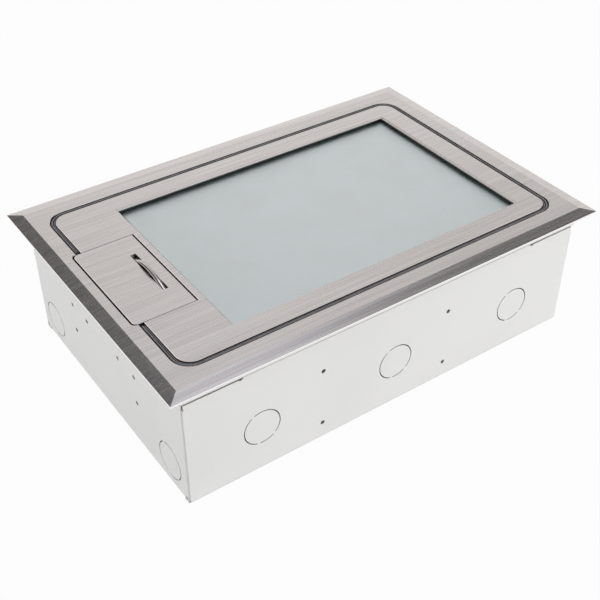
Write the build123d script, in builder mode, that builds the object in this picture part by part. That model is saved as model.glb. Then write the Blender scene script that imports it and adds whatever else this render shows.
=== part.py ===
from build123d import *
from math import asin, cos, radians, sin, sqrt, tan
import os

os.makedirs("parts", exist_ok=True)

# The frame of the model: the origin is the centre of the box's underside, X runs along the
# long side, Y along the short side and Z up. The cable flap is at the -X end.

# Back box, folded from sheet steel
box_length = 300.0
box_width = 200.0
box_height = 80.0
sheet = 1.2
bend_radius = 2.0
corner_groove = 0.9
corner_groove_depth = 1.5
top_flange_width = 22.0
flange_end_inset = 38.0
relief_notch_radius = 1.8
end_drop = 1.0
corner_tab_length = 14.0
corner_tab_top_drop = 8.0
corner_slit_width = 3.0
corner_slit_depth = 5.0
corner_relief_radius = 1.2
corner_relief_inset = 3.0

# Knockouts for 25 mm conduit, and the pierced holes of the walls
knockout_diameter = 25.0
knockout_slot = 0.7
knockout_tie = 2.2
knockout_tie_angles = (-103.0, -49.0, 120.0)
long_knockout_pitch = 100.0
long_knockout_shift = 1.2
long_knockout_height = 34.4
short_knockout_inset = 21.0
short_knockout_height = 18.9
pierced_hole_diameter = 3.0

# Base fixing holes and the earth stud on the floor of the box
base_hole_inset_x = 40.0
base_hole_inset_y = 16.0
base_hole_diameter = 6.5
earth_stud_from_divider = 18.0
earth_stud_inset = 16.0
earth_thread = 5.0
earth_stud_height = 20.0
earth_stud_chamfer = 0.6
earth_flange_diameter = 9.0
earth_flange_height = 1.2
earth_washer_thickness = 1.0
earth_washer_diameter = 10.0
earth_nut_width = 8.0
earth_nut_height = 4.0
earth_nut_raise = 6.0

# Dividers that split the box into three bays
divider_left_share = 0.1633
divider_right_share = 0.1623
divider_top_drop = 18.0
divider_tab = 13.0
divider_screw_shift = 6.0
divider_hole_low = 12.9
divider_hole_from_top = 6.4
divider_dip_width = 84.0
divider_dip_depth = 14.0
divider_dip_radius = 6.0

# Trim frame with its ramped edge, and the collar under it
trim_overhang_x = 10.0
trim_overhang_y = 8.5
trim_thickness = 2.5
ramp_width = 8.0
ramp_drop = 1.3
opening_inset_x = 7.5
opening_inset_y = 10.0
opening_radius = 13.0
edge_break = 0.3
collar_height = 10.5
collar_wall = 1.5
collar_foot_width = 21.5

# Seat that carries the lid, and the screws that hold the trim to the box
seat_thickness = 1.5
seat_width = 13.0
seat_leg = 5.0
seat_below_trim = 4.2
frame_screw_end = 22.0
frame_screw_edge = 4.2
frame_screw_thread = 4.0
frame_screw_head = 7.0
frame_screw_head_height = 2.4
frame_screw_head_round = 0.8
frame_screw_length = 10.0
frame_nut_width = 7.0
frame_nut_height = 3.0
access_notch_radius = 4.2

# Rubber seal between lid and trim
seal_base_width = 5.5
seal_lip_drop = 0.8
seal_bead_width = 0.9
seal_bead_height = 0.6
seal_fit = 0.1

# Lid plate, recessed tray and stiffening ribs
lid_gap = 3.5
lid_thickness = 2.0
lid_radius = 10.0
window_from_flap = 6.0
window_from_end = 17.0
window_from_side = 15.5
window_bevel = 1.2
recess_depth = 4.0
tray_sheet = 1.5
tray_setback = 3.0
tray_rim = 2.5
tray_corner = 1.5
rib_shares = (0.12, 0.36, 0.63, 0.88)
rib_height = 8.0
rib_crown = 18.0
rib_foot = 8.0
rib_end_inset = 2.0

# Cable flap, its pivots and its carrier
flap_overlap = 2.5
flap_length = 41.0
flap_width = 81.0
flap_corner = 3.0
flap_side_gap = 0.4
flap_inner_gap = 1.0
flap_tail = 8.0
pivot_drop = 4.3
pivot_diameter = 2.0
pivot_play = 0.05
pivot_head = 3.6
pivot_head_length = 0.9
pivot_head_play = 0.2
ear_sheet = 1.5
ear_inset = 0.7
ear_radius = 3.0
swing_clearance = 0.1
carrier_sheet = 1.5
carrier_side_gap = 0.8
carrier_top_drop = 0.2
carrier_foot_drop = 51.0
carrier_wide = 46.0
carrier_waist_drop = 14.0
carrier_back_drop = 1.0
carrier_nose_height = 6.0
carrier_lip_length = 22.0
carrier_lip_width = 5.3
carrier_bar = 3.5
carrier_screw_y_outer = 41.5
carrier_screw_y_inner = 21.0
carrier_screw_drop_low = 44.5
carrier_screw_drop_high = 23.5
pad_thickness = 0.4
pad_length = 8.0
pad_width = 3.0
pad_corner = 1.0
pad_y = 30.0

# Bow handle of the flap, a low bent strip that dips into two slots
bow_from_edge = 9.7
bow_half_span = 12.5
bow_rise = 2.2
bow_strip = 1.4
bow_strip_width = 3.2
bow_edge_round = 0.4
bow_foot = 3.5
bow_travel = 0.9
bow_slot_play = 0.3

# Accessory plates, housings and rails in the three bays
plate_length = 146.0
plate_side_gap = 5.2
plate_thickness = 3.0
plate_top_z = 40.0
plate_corner = 3.0
plate_edge = 1.2
plate_screw_pitch = 120.6
plate_screw_diameter = 3.5
plate_screw_head = 6.6
plate_screw_length = 14.0
plate_screw_cone = 90.0
rail_sheet = 1.5
rail_width = 16.0
rail_leg = 14.0
housing_side = 11.0
housing_depth = 20.0
housing_corner = 4.0

# Pin apertures and rocker switches of the power plates
outlet_y = 37.0
pin_spread = 22.2
earth_pin_offset = 22.2
line_slot_length = 7.2
line_slot_width = 4.6
earth_slot_length = 9.0
earth_slot_width = 4.6
rocker_y = 9.5
rocker_from_side = 12.0
rocker_length = 20.0
rocker_width = 12.0
rocker_keel = 3.0
rocker_keel_length = 15.0
rocker_proud = 1.6
rocker_dish = 1.0
rocker_tilt = 5.0
rocker_gap = 0.35
rocker_pivot_drop = 4.6
rocker_well_depth = 9.0
trunnion_diameter = 2.4
trunnion_length = 1.4

# Data plate with two shuttered jacks
jack_y = 30.0
jack_opening_y = 12.0
jack_opening_x = 9.0
jack_depth = 11.0
jack_wall = 3.0
slide_cover_y = 15.0
slide_cover_x = 13.0
slide_travel = 11.0
slide_wing = 0.9
slide_wing_thickness = 0.6
slide_overhang = 1.2
slide_grip_width = 1.4
slide_grip_height = 1.0

# Clearances
body_gap = 0.3
screw_play = 0.02
thread_play = 0.25
screw_tip_short = 0.5

# Fixing screws of dividers and carrier, put in from the inside
small_screw = 2.8
small_screw_head = 5.4
small_screw_head_height = 1.6

# Heights and places worked out from the sizes above
flange_length = box_length - 2 * flange_end_inset
divider_left_x = -divider_left_share * box_length
divider_right_x = divider_right_share * box_length
divider_height = box_height - divider_top_drop
divider_hole_high = divider_height - divider_hole_from_top
earth_stud_x = divider_right_x + earth_stud_from_divider
earth_stud_y = box_width / 2 - earth_stud_inset
trim_length = box_length + 2 * trim_overhang_x
trim_width = box_width + 2 * trim_overhang_y
opening_length = box_length - 2 * opening_inset_x
opening_width = box_width - 2 * opening_inset_y
lid_length = opening_length - 2 * lid_gap
lid_width = opening_width - 2 * lid_gap
seat_edge_x = opening_length / 2 - seat_width
seat_edge_y = opening_width / 2 - seat_width
flap_outer_x = -opening_length / 2 - flap_overlap
flap_inner_x = flap_outer_x + flap_length
bow_x = flap_inner_x - bow_from_edge
window_left = flap_inner_x + window_from_flap
window_right = lid_length / 2 - window_from_end
window_width = lid_width - 2 * window_from_side
window_x = (window_left + window_right) / 2
window_length = window_right - window_left
rib_places = [window_left + share * window_length for share in rib_shares]
rib_length = window_width - 2 * rib_end_inset
collar_top = box_height + collar_height
trim_top = collar_top + trim_thickness
lid_under = trim_top - lid_thickness
seat_top = trim_top - seat_below_trim
seat_under = seat_top - seat_thickness
inner_x = box_length / 2 - sheet
inner_y = box_width / 2 - sheet
frame_screw_step = flange_length / 2 - frame_screw_end
frame_screw_y = inner_y - top_flange_width + frame_screw_edge
base_hole_x = box_length - 2 * base_hole_inset_x
base_hole_y = box_width - 2 * base_hole_inset_y
short_knockout_y = box_width / 2 - short_knockout_inset
collar_inner_x = box_length / 2 - collar_wall
collar_inner_y = box_width / 2 - collar_wall
seal_outer_length = opening_length - 2 * seal_fit
seal_outer_width = opening_width - 2 * seal_fit
seal_outer_radius = opening_radius - seal_fit
seal_inner_length = lid_length + 2 * body_gap
seal_inner_width = lid_width + 2 * body_gap
seal_inner_radius = lid_radius + body_gap
pivot_x = flap_outer_x + flap_tail
pivot_z = trim_top - pivot_drop
flap_sweep = sqrt(flap_tail**2 + pivot_drop**2)
trim_under_rise = collar_top - pivot_z
flap_reach = sqrt(flap_sweep**2 - trim_under_rise**2)
notch_x = pivot_x - flap_reach - swing_clearance
cheek_inner_y = flap_width / 2 + carrier_side_gap
cheek_outer_y = cheek_inner_y + carrier_sheet
ear_outer_y = flap_width / 2 - ear_inset
ear_inner_y = ear_outer_y - ear_sheet
carrier_top = collar_top - carrier_top_drop
carrier_back_x = -inner_x + carrier_sheet
carrier_foot_z = box_height - carrier_foot_drop
carrier_waist_z = box_height - carrier_waist_drop
carrier_back_top = box_height - carrier_back_drop
carrier_screw_z_low = box_height - carrier_screw_drop_low
carrier_screw_z_high = box_height - carrier_screw_drop_high
cutout_inner_x = flap_inner_x + flap_inner_gap
cutout_half_y = flap_width / 2 + flap_side_gap
seal_end_y = cheek_outer_y + body_gap
plate_under = plate_top_z - plate_thickness
housing_under = plate_under - housing_depth
housing_length = plate_screw_pitch - rail_width - 2 * body_gap
rail_under = plate_under - rail_sheet
bay_left = (-inner_x, divider_left_x - sheet / 2)
bay_middle = (divider_left_x + sheet / 2, divider_right_x - sheet / 2)
bay_right = (divider_right_x + sheet / 2, inner_x)
bays = (bay_left, bay_middle, bay_right)
left_x, middle_x, right_x = [(low + high) / 2 for low, high in bays]
plate_width = min(high - low for low, high in bays) - 2 * plate_side_gap
housing_width = plate_width - 2 * housing_side
rocker_x = housing_width / 2 - rocker_from_side

front_face = Plane(origin=(0, -box_width / 2, 0), x_dir=(1, 0, 0), z_dir=(0, -1, 0))
back_face = Plane(origin=(0, box_width / 2, 0), x_dir=(-1, 0, 0), z_dir=(0, 1, 0))
flap_end_face = Plane(origin=(-box_length / 2, 0, 0), x_dir=(0, -1, 0), z_dir=(-1, 0, 0))
far_end_face = Plane(origin=(box_length / 2, 0, 0), x_dir=(0, 1, 0), z_dir=(1, 0, 0))


def finish(builder, name):
    """Label the finished piece and write its file."""
    builder.part.label = name
    export_step(builder.part, "parts/" + name + ".step")


def ring_profile(length, width, radius, inner_length, inner_width, inner_radius):
    """A rounded rectangular ring in the sketch that is open."""
    RectangleRounded(length, width, radius)
    RectangleRounded(inner_length, inner_width, inner_radius, mode=Mode.SUBTRACT)


# Back box: one sheet folded up to four walls, with a flange turned in along each long wall,
# knockouts for conduit, pierced holes for what is fixed inside, and holes in the floor
long_knockout_places = [step * long_knockout_pitch + long_knockout_shift for step in (-1, 0, 1)]
front_knockouts = [(x, long_knockout_height) for x in long_knockout_places]
back_knockouts = [(-x, long_knockout_height) for x in long_knockout_places]
short_knockouts = [(side * short_knockout_y, short_knockout_height) for side in (-1, 1)]
divider_places = (divider_left_x, divider_right_x)
divider_hole_heights = (divider_hole_low, divider_hole_high)
divider_holes = [(x - divider_screw_shift, z) for x in divider_places for z in divider_hole_heights]
carrier_holes = [
    (side * y, z)
    for side in (-1, 1)
    for y, z in (
        (carrier_screw_y_outer, carrier_screw_z_low),
        (carrier_screw_y_outer, carrier_screw_z_high),
        (carrier_screw_y_inner, carrier_screw_z_high),
    )
]

with BuildPart() as back_box:
    with BuildSketch():
        Rectangle(box_length, box_width)
    extrude(amount=box_height)
    fillet(back_box.edges().group_by(Axis.Z)[0], bend_radius)
    with BuildPart(mode=Mode.PRIVATE) as hollow:
        with BuildSketch(Plane.XY.offset(sheet)):
            Rectangle(2 * inner_x, 2 * inner_y)
        extrude(amount=box_height)
        fillet(hollow.edges().group_by(Axis.Z)[0], bend_radius - sheet)
    add(hollow.part, mode=Mode.SUBTRACT)

    # Flanges turned in along the tops of the long walls
    with BuildSketch(Plane.XY.offset(box_height - sheet)):
        with Locations((0, inner_y), (0, -inner_y)):
            Rectangle(flange_length, 2 * top_flange_width)
        Rectangle(2 * inner_x, 2 * (inner_y - top_flange_width), mode=Mode.SUBTRACT)
        with Locations((0, inner_y + top_flange_width), (0, -inner_y - top_flange_width)):
            Rectangle(flange_length, 2 * top_flange_width, mode=Mode.SUBTRACT)
    extrude(amount=sheet)

    # Beyond the flange the long walls stop lower, and a round notch frees the end of its bend
    for side in (-1, 1):
        with Locations((0, side * box_width / 2, box_height)):
            end_length = (box_length - flange_length) / 2 - corner_groove
            with Locations(
                ((flange_length + end_length) / 2, 0, 0),
                (-(flange_length + end_length) / 2, 0, 0),
            ):
                Box(end_length, 2 * sheet, 2 * end_drop, mode=Mode.SUBTRACT)
            with Locations((flange_length / 2, 0, 0), (-flange_length / 2, 0, 0)):
                Cylinder(
                    relief_notch_radius, 2 * sheet, rotation=(90, 0, 0), mode=Mode.SUBTRACT
                )

    # The long walls end in a cut edge beside the bend of the short walls
    with BuildSketch():
        with GridLocations(box_length, box_width, 2, 2):
            Rectangle(2 * corner_groove, 2 * corner_groove_depth)
    extrude(amount=box_height, mode=Mode.SUBTRACT)
    with BuildSketch():
        for side_x in (-1, 1):
            for side_y in (-1, 1):
                with Locations((side_x * (box_length / 2 - sheet), side_y * (inner_y - 2 * sheet))):
                    Rectangle(2 * sheet, 4 * sheet)
        Rectangle(2 * inner_x, 2 * inner_y - 6 * sheet, mode=Mode.SUBTRACT)
    extrude(amount=sheet)

    # Tabs of the short walls, tucked behind the long walls and welded there
    with BuildSketch(Plane.XY.offset(sheet)):
        for side_x in (-1, 1):
            for side_y in (-1, 1):
                tab_x = side_x * (inner_x - corner_tab_length / 2 + sheet / 2)
                with Locations((tab_x, side_y * (inner_y - sheet / 2))):
                    Rectangle(corner_tab_length, sheet)
    extrude(amount=box_height - corner_tab_top_drop - sheet)

    # Slit at the top of each corner, and the small relief at its foot
    with Locations((0, 0, box_height)):
        with GridLocations(box_length, box_width, 2, 2):
            Box(corner_slit_width, 3 * sheet, 2 * corner_slit_depth, mode=Mode.SUBTRACT)
    with Locations((0, 0, corner_relief_inset)):
        with GridLocations(box_length, box_width - 2 * corner_relief_inset, 2, 2):
            Cylinder(corner_relief_radius, 4 * sheet, rotation=(0, 90, 0), mode=Mode.SUBTRACT)

    # Conduit knockouts: a ring slot that a few ties bridge
    for face, spots in (
        (front_face, front_knockouts),
        (back_face, back_knockouts),
        (flap_end_face, short_knockouts),
        (far_end_face, short_knockouts),
    ):
        with BuildSketch(face):
            with Locations(*spots):
                Circle(knockout_diameter / 2 + knockout_slot / 2)
                Circle(knockout_diameter / 2 - knockout_slot / 2, mode=Mode.SUBTRACT)
                for angle in knockout_tie_angles:
                    with PolarLocations(knockout_diameter / 2, 1, start_angle=angle):
                        Rectangle(4 * knockout_slot, knockout_tie, mode=Mode.SUBTRACT)
        extrude(amount=-sheet, mode=Mode.SUBTRACT)

    # Pierced holes for the dividers and for the flap carrier
    with BuildSketch(front_face):
        with Locations(*divider_holes):
            Circle(pierced_hole_diameter / 2)
    extrude(amount=-box_width, mode=Mode.SUBTRACT)
    with BuildSketch(flap_end_face):
        with Locations(*carrier_holes):
            Circle(pierced_hole_diameter / 2)
    extrude(amount=-2 * sheet, mode=Mode.SUBTRACT)

    # Holes in the floor, and the screw holes of the flanges
    with BuildSketch():
        with GridLocations(base_hole_x, base_hole_y, 2, 2):
            Circle(base_hole_diameter / 2)
    extrude(amount=2 * sheet, mode=Mode.SUBTRACT)
    with BuildSketch(Plane.XY.offset(box_height)):
        with GridLocations(frame_screw_step, 2 * frame_screw_y, 3, 2):
            Circle(frame_screw_thread / 2 + thread_play)
    extrude(amount=-2 * sheet, mode=Mode.SUBTRACT)
finish(back_box, "back_box")

# Dividers: folded plates between the long walls, screwed to them through end tabs, with a
# dip in the upper edge where leads cross to the cable flap
divider_length = 2 * inner_y
for divider_name, divider_x in (("divider_left", divider_left_x), ("divider_right", divider_right_x)):
    with BuildPart() as divider:
        with BuildSketch(Plane.XY.offset(bend_radius)):
            with Locations((divider_x, 0)):
                Rectangle(sheet, divider_length)
            tab_x = divider_x + sheet / 2 - divider_tab / 2
            with Locations((tab_x, inner_y - sheet / 2), (tab_x, -inner_y + sheet / 2)):
                Rectangle(divider_tab, sheet)
        extrude(amount=divider_height - bend_radius)
        with BuildSketch(Plane.YZ.offset(divider_x - sheet)):
            with Locations((0, divider_height)):
                RectangleRounded(divider_dip_width, 2 * divider_dip_depth, divider_dip_radius)
        extrude(amount=2 * sheet, mode=Mode.SUBTRACT)
        with BuildSketch(front_face):
            with Locations(*[(divider_x - divider_screw_shift, z) for z in divider_hole_heights]):
                Circle(small_screw / 2 + screw_play)
        extrude(amount=-box_width, mode=Mode.SUBTRACT)
    finish(divider, divider_name)

# Screws of the dividers: put in from the inside, with their tips short of the outer face
with BuildPart() as divider_screws:
    for side in (-1, 1):
        for screw_x, screw_z in divider_holes:
            head_seat = Plane(
                origin=(screw_x, side * (inner_y - sheet), screw_z), x_dir=(1, 0, 0), z_dir=(0, -side, 0)
            )
            with BuildSketch(head_seat):
                Circle(small_screw_head / 2)
            extrude(amount=small_screw_head_height)
            with BuildSketch(head_seat):
                Circle(small_screw / 2)
            extrude(amount=-(2 * sheet - screw_tip_short))
finish(divider_screws, "divider_screws")

# Earth stud welded to the floor, with its washer and nut
with BuildPart() as earth_stud:
    with BuildSketch(Plane.XY.offset(sheet)):
        with Locations((earth_stud_x, earth_stud_y)):
            Circle(earth_thread / 2)
    extrude(amount=earth_stud_height)
    chamfer(earth_stud.edges().group_by(Axis.Z)[-1], earth_stud_chamfer)
    with BuildSketch(Plane.XY.offset(sheet)):
        with Locations((earth_stud_x, earth_stud_y)):
            Circle(earth_flange_diameter / 2)
    extrude(amount=earth_flange_height)
finish(earth_stud, "earth_stud")

earth_washer_z = sheet + earth_nut_raise - earth_washer_thickness
with BuildPart() as earth_washer:
    with BuildSketch(Plane.XY.offset(earth_washer_z)):
        with Locations((earth_stud_x, earth_stud_y)):
            Circle(earth_washer_diameter / 2)
            Circle(earth_thread / 2 + screw_play, mode=Mode.SUBTRACT)
    extrude(amount=earth_washer_thickness)
finish(earth_washer, "earth_washer")

with BuildPart() as earth_nut:
    with BuildSketch(Plane.XY.offset(sheet + earth_nut_raise)):
        with Locations((earth_stud_x, earth_stud_y)):
            RegularPolygon(earth_nut_width / 2, 6, major_radius=False)
            Circle(earth_thread / 2 + screw_play, mode=Mode.SUBTRACT)
    extrude(amount=earth_nut_height)
finish(earth_nut, "earth_nut")

# Collar: the raised ring between box and trim, flush with the walls of the box, with a foot
# turned in along each long side that is screwed down on the flange of the box
with BuildPart() as frame_collar:
    with BuildSketch(Plane.XY.offset(box_height)):
        Rectangle(box_length, box_width)
        Rectangle(2 * collar_inner_x, 2 * collar_inner_y, mode=Mode.SUBTRACT)
    extrude(amount=collar_height)
    with BuildSketch(Plane.XY.offset(box_height)):
        foot_length = flange_length - 2 * relief_notch_radius
        for side in (-1, 1):
            with Locations((0, side * (collar_inner_y - collar_foot_width / 2))):
                Rectangle(foot_length, collar_foot_width)
        with GridLocations(frame_screw_step, 2 * frame_screw_y, 3, 2):
            Circle(frame_screw_thread / 2 + thread_play, mode=Mode.SUBTRACT)
    extrude(amount=collar_wall)
finish(frame_collar, "frame_collar")

# Trim frame: brushed plate with a mitred ramp all round, a rounded opening for the lid and
# a shallow notch that the outer edge of the cable flap lies in
with BuildPart() as trim_frame:
    with BuildSketch(Plane.XY.offset(collar_top)):
        Rectangle(trim_length, trim_width)
    extrude(amount=trim_thickness - ramp_drop)
    with BuildSketch(Plane.XY.offset(trim_top - ramp_drop)):
        Rectangle(trim_length, trim_width)
    with BuildSketch(Plane.XY.offset(trim_top)):
        Rectangle(trim_length - 2 * ramp_width, trim_width - 2 * ramp_width)
    loft()
    with BuildSketch(Plane.XY.offset(collar_top)):
        RectangleRounded(opening_length, opening_width, opening_radius)
    extrude(amount=trim_thickness, mode=Mode.SUBTRACT)
    notch_half = flap_width / 2 + flap_side_gap
    with BuildSketch(Plane.XY.offset(collar_top)):
        with Locations((notch_x + opening_radius, 0)):
            RectangleRounded(2 * opening_radius, 2 * notch_half, flap_corner)
    extrude(amount=trim_thickness, mode=Mode.SUBTRACT)
    chamfer(trim_frame.faces().sort_by(Axis.Z)[-1].inner_wires()[0].edges(), edge_break)
finish(trim_frame, "trim_frame")

# Lid seat: an angle section ring inside the collar, open at the cable flap, with round
# notches that let a driver reach the screws below
with BuildPart() as lid_seat:
    with BuildSketch(Plane.XY.offset(seat_under)):
        Rectangle(2 * collar_inner_x, 2 * collar_inner_y)
        RectangleRounded(2 * seat_edge_x, 2 * seat_edge_y, tray_corner, mode=Mode.SUBTRACT)
        with GridLocations(frame_screw_step, 2 * frame_screw_y, 3, 2):
            Circle(access_notch_radius, mode=Mode.SUBTRACT)
        for side in (-1, 1):
            for step in (-1, 0, 1):
                with Locations((step * frame_screw_step, side * (frame_screw_y - access_notch_radius))):
                    Rectangle(2 * access_notch_radius, 2 * access_notch_radius, mode=Mode.SUBTRACT)
    extrude(amount=seat_thickness)
    with BuildSketch(Plane.XY.offset(seat_under - seat_leg)):
        Rectangle(2 * collar_inner_x, 2 * collar_inner_y)
        leg_x = collar_inner_x - seat_thickness
        leg_y = collar_inner_y - seat_thickness
        Rectangle(2 * leg_x, 2 * leg_y, mode=Mode.SUBTRACT)
    extrude(amount=seat_leg)
    with BuildSketch(Plane.XY.offset(seat_under - seat_leg)):
        with Locations((-collar_inner_x, 0)):
            Rectangle(4 * seat_width, 2 * seal_end_y)
    extrude(amount=seat_leg + seat_thickness, mode=Mode.SUBTRACT)
finish(lid_seat, "lid_seat")

# Seal: a rubber profile that lies on the seat, fills the gap round the lid with a lip and
# shows a thin raised bead there; it stops at both sides of the cable flap
seal_base_top = lid_under - body_gap
seal_lip_top = trim_top - seal_lip_drop
bead_length = (opening_length + lid_length) / 2
bead_line_width = (opening_width + lid_width) / 2
bead_radius = (opening_radius + lid_radius) / 2
with BuildPart() as seal_gasket:
    with BuildSketch(Plane.XY.offset(seat_top)):
        ring_profile(
            seal_outer_length,
            seal_outer_width,
            seal_outer_radius,
            opening_length - 2 * seal_base_width,
            opening_width - 2 * seal_base_width,
            lid_radius,
        )
    extrude(amount=seal_base_top - seat_top)
    with BuildSketch(Plane.XY.offset(seal_base_top)):
        ring_profile(
            seal_outer_length,
            seal_outer_width,
            seal_outer_radius,
            seal_inner_length,
            seal_inner_width,
            seal_inner_radius,
        )
    extrude(amount=seal_lip_top - seal_base_top)
    with BuildSketch(Plane.XY.offset(seal_lip_top)):
        ring_profile(
            bead_length + seal_bead_width,
            bead_line_width + seal_bead_width,
            bead_radius + seal_bead_width / 2,
            bead_length - seal_bead_width,
            bead_line_width - seal_bead_width,
            bead_radius - seal_bead_width / 2,
        )
    extrude(amount=seal_bead_height)
    with BuildSketch(Plane.XY.offset(seat_top)):
        with Locations((-opening_length / 2, 0)):
            Rectangle(4 * seal_base_width, 2 * seal_end_y)
    extrude(amount=2 * trim_thickness, mode=Mode.SUBTRACT)
finish(seal_gasket, "seal_gasket")

# Screws that hold the collar down on the box, and the nuts pressed under its flanges
with BuildPart() as frame_screws:
    with BuildSketch(Plane.XY.offset(box_height + collar_wall)):
        with GridLocations(frame_screw_step, 2 * frame_screw_y, 3, 2):
            Circle(frame_screw_head / 2)
    extrude(amount=frame_screw_head_height)
    fillet(frame_screws.edges().group_by(Axis.Z)[-1], frame_screw_head_round)
    with BuildSketch(Plane.XY.offset(box_height + collar_wall)):
        with GridLocations(frame_screw_step, 2 * frame_screw_y, 3, 2):
            Circle(frame_screw_thread / 2)
    extrude(amount=-frame_screw_length)
finish(frame_screws, "frame_screws")

with BuildPart() as frame_nuts:
    with BuildSketch(Plane.XY.offset(box_height - sheet)):
        with GridLocations(frame_screw_step, 2 * frame_screw_y, 3, 2):
            RegularPolygon(frame_nut_width / 2, 6, major_radius=False)
            Circle(frame_screw_thread / 2 + screw_play, mode=Mode.SUBTRACT)
    extrude(amount=-frame_nut_height)
finish(frame_nuts, "frame_nuts")

# Lid plate: brushed plate with a bevelled window over the recess and a cut-out for the flap
with BuildPart() as lid_plate:
    with BuildSketch(Plane.XY.offset(lid_under)):
        RectangleRounded(lid_length, lid_width, lid_radius)
        with Locations((window_x, 0)):
            Rectangle(window_length, window_width, mode=Mode.SUBTRACT)
        cutout_length = 2 * (lid_length / 2 + cutout_inner_x)
        with Locations((-lid_length / 2, 0)):
            Rectangle(cutout_length, 2 * cutout_half_y, mode=Mode.SUBTRACT)
    extrude(amount=lid_thickness)
    lid_top = lid_plate.faces().sort_by(Axis.Z)[-1]
    chamfer(lid_top.outer_wire().edges(), edge_break)
    lid_top = lid_plate.faces().sort_by(Axis.Z)[-1]
    chamfer(lid_top.inner_wires()[0].edges(), window_bevel)
finish(lid_plate, "lid_plate")

# Tray: galvanised pan under the window, with its rim welded beneath the plate
tray_length = window_length + 2 * tray_setback
tray_width = window_width + 2 * tray_setback
tray_floor_top = trim_top - recess_depth
tray_floor_under = tray_floor_top - tray_sheet
rim_left = cutout_inner_x + body_gap
rim_right = window_right + tray_setback + tray_sheet + tray_rim
with BuildPart() as lid_tray:
    with BuildSketch(Plane.XY.offset(tray_floor_under)):
        with Locations((window_x, 0)):
            RectangleRounded(
                tray_length + 2 * tray_sheet, tray_width + 2 * tray_sheet, tray_corner + tray_sheet
            )
    extrude(amount=lid_under - tray_floor_under)
    with BuildSketch(Plane.XY.offset(lid_under - tray_sheet)):
        with Locations(((rim_left + rim_right) / 2, 0)):
            Rectangle(rim_right - rim_left, tray_width + 2 * tray_sheet + 2 * tray_rim)
    extrude(amount=tray_sheet)
    with BuildSketch(Plane.XY.offset(tray_floor_top)):
        with Locations((window_x, 0)):
            RectangleRounded(tray_length, tray_width, tray_corner)
    extrude(amount=lid_under - tray_floor_top, mode=Mode.SUBTRACT)
finish(lid_tray, "lid_tray")

# Stiffening ribs: folded hat sections welded across the underside of the tray
rib_under = tray_floor_under - rib_height
with BuildPart() as lid_ribs:
    with BuildSketch(Plane.XZ.offset(-rib_length / 2)):
        for rib_x in rib_places:
            with BuildLine():
                Polyline(
                    (rib_x - rib_crown / 2 - rib_foot, tray_floor_under),
                    (rib_x + rib_crown / 2 + rib_foot, tray_floor_under),
                    (rib_x + rib_crown / 2 + rib_foot, tray_floor_under - tray_sheet),
                    (rib_x + rib_crown / 2, tray_floor_under - tray_sheet),
                    (rib_x + rib_crown / 2 - tray_sheet, rib_under),
                    (rib_x - rib_crown / 2 + tray_sheet, rib_under),
                    (rib_x - rib_crown / 2, tray_floor_under - tray_sheet),
                    (rib_x - rib_crown / 2 - rib_foot, tray_floor_under - tray_sheet),
                    close=True,
                )
            make_face()
            with BuildLine():
                Polyline(
                    (rib_x - rib_crown / 2 + tray_sheet, tray_floor_under),
                    (rib_x + rib_crown / 2 - tray_sheet, tray_floor_under),
                    (rib_x + rib_crown / 2 - 2 * tray_sheet, rib_under + tray_sheet),
                    (rib_x - rib_crown / 2 + 2 * tray_sheet, rib_under + tray_sheet),
                    close=True,
                )
            make_face(mode=Mode.SUBTRACT)
    extrude(amount=rib_length)
finish(lid_ribs, "lid_ribs")

# Flap carrier: one folded sheet screwed to the short wall; its back runs up the wall, two
# cheeks stand beside the flap and take the pivots, and a bar carries the flap's inner edge
with BuildPart() as flap_carrier:
    with BuildSketch(Plane.YZ.offset(-inner_x)):
        back_height = carrier_back_top - carrier_foot_z
        with Locations((0, carrier_foot_z)):
            Rectangle(2 * cheek_outer_y, back_height, align=(Align.CENTER, Align.MIN))
            waist = carrier_waist_z - carrier_foot_z
            Rectangle(2 * carrier_wide, waist, align=(Align.CENTER, Align.MIN))
        for side in (-1, 1):
            with Locations(
                (side * carrier_screw_y_outer, carrier_screw_z_low),
                (side * carrier_screw_y_outer, carrier_screw_z_high),
                (side * carrier_screw_y_inner, carrier_screw_z_high),
            ):
                Circle(small_screw / 2 + screw_play, mode=Mode.SUBTRACT)
    extrude(amount=carrier_sheet)
    for side in (-1, 1):
        inner_side = side * cheek_inner_y
        with BuildSketch(Plane(origin=(0, inner_side, 0), x_dir=(-side, 0, 0), z_dir=(0, side, 0))):
            with BuildLine():
                Polyline(
                    (-side * carrier_back_x, carrier_waist_z),
                    (-side * carrier_back_x, carrier_top),
                    (-side * flap_inner_x, carrier_top),
                    (-side * flap_inner_x, carrier_top - carrier_nose_height),
                    close=True,
                )
            make_face()
            with Locations((-side * pivot_x, pivot_z)):
                Circle(pivot_diameter / 2 + screw_play, mode=Mode.SUBTRACT)
        extrude(amount=carrier_sheet)
    with BuildSketch(Plane.XY.offset(carrier_top - carrier_sheet)):
        lip_centre_x = flap_inner_x - carrier_lip_length / 2
        for side in (-1, 1):
            with Locations((lip_centre_x, side * (cheek_outer_y - carrier_lip_width / 2))):
                Rectangle(carrier_lip_length, carrier_lip_width)
        with Locations((flap_inner_x - carrier_bar / 2, 0)):
            Rectangle(carrier_bar, 2 * cheek_inner_y)
    extrude(amount=carrier_sheet)
    with BuildSketch(Plane.XY.offset(carrier_top - carrier_nose_height)):
        with Locations((flap_inner_x - carrier_sheet / 2, 0)):
            Rectangle(carrier_sheet, 2 * cheek_outer_y)
    extrude(amount=carrier_nose_height)
finish(flap_carrier, "flap_carrier")

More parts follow.
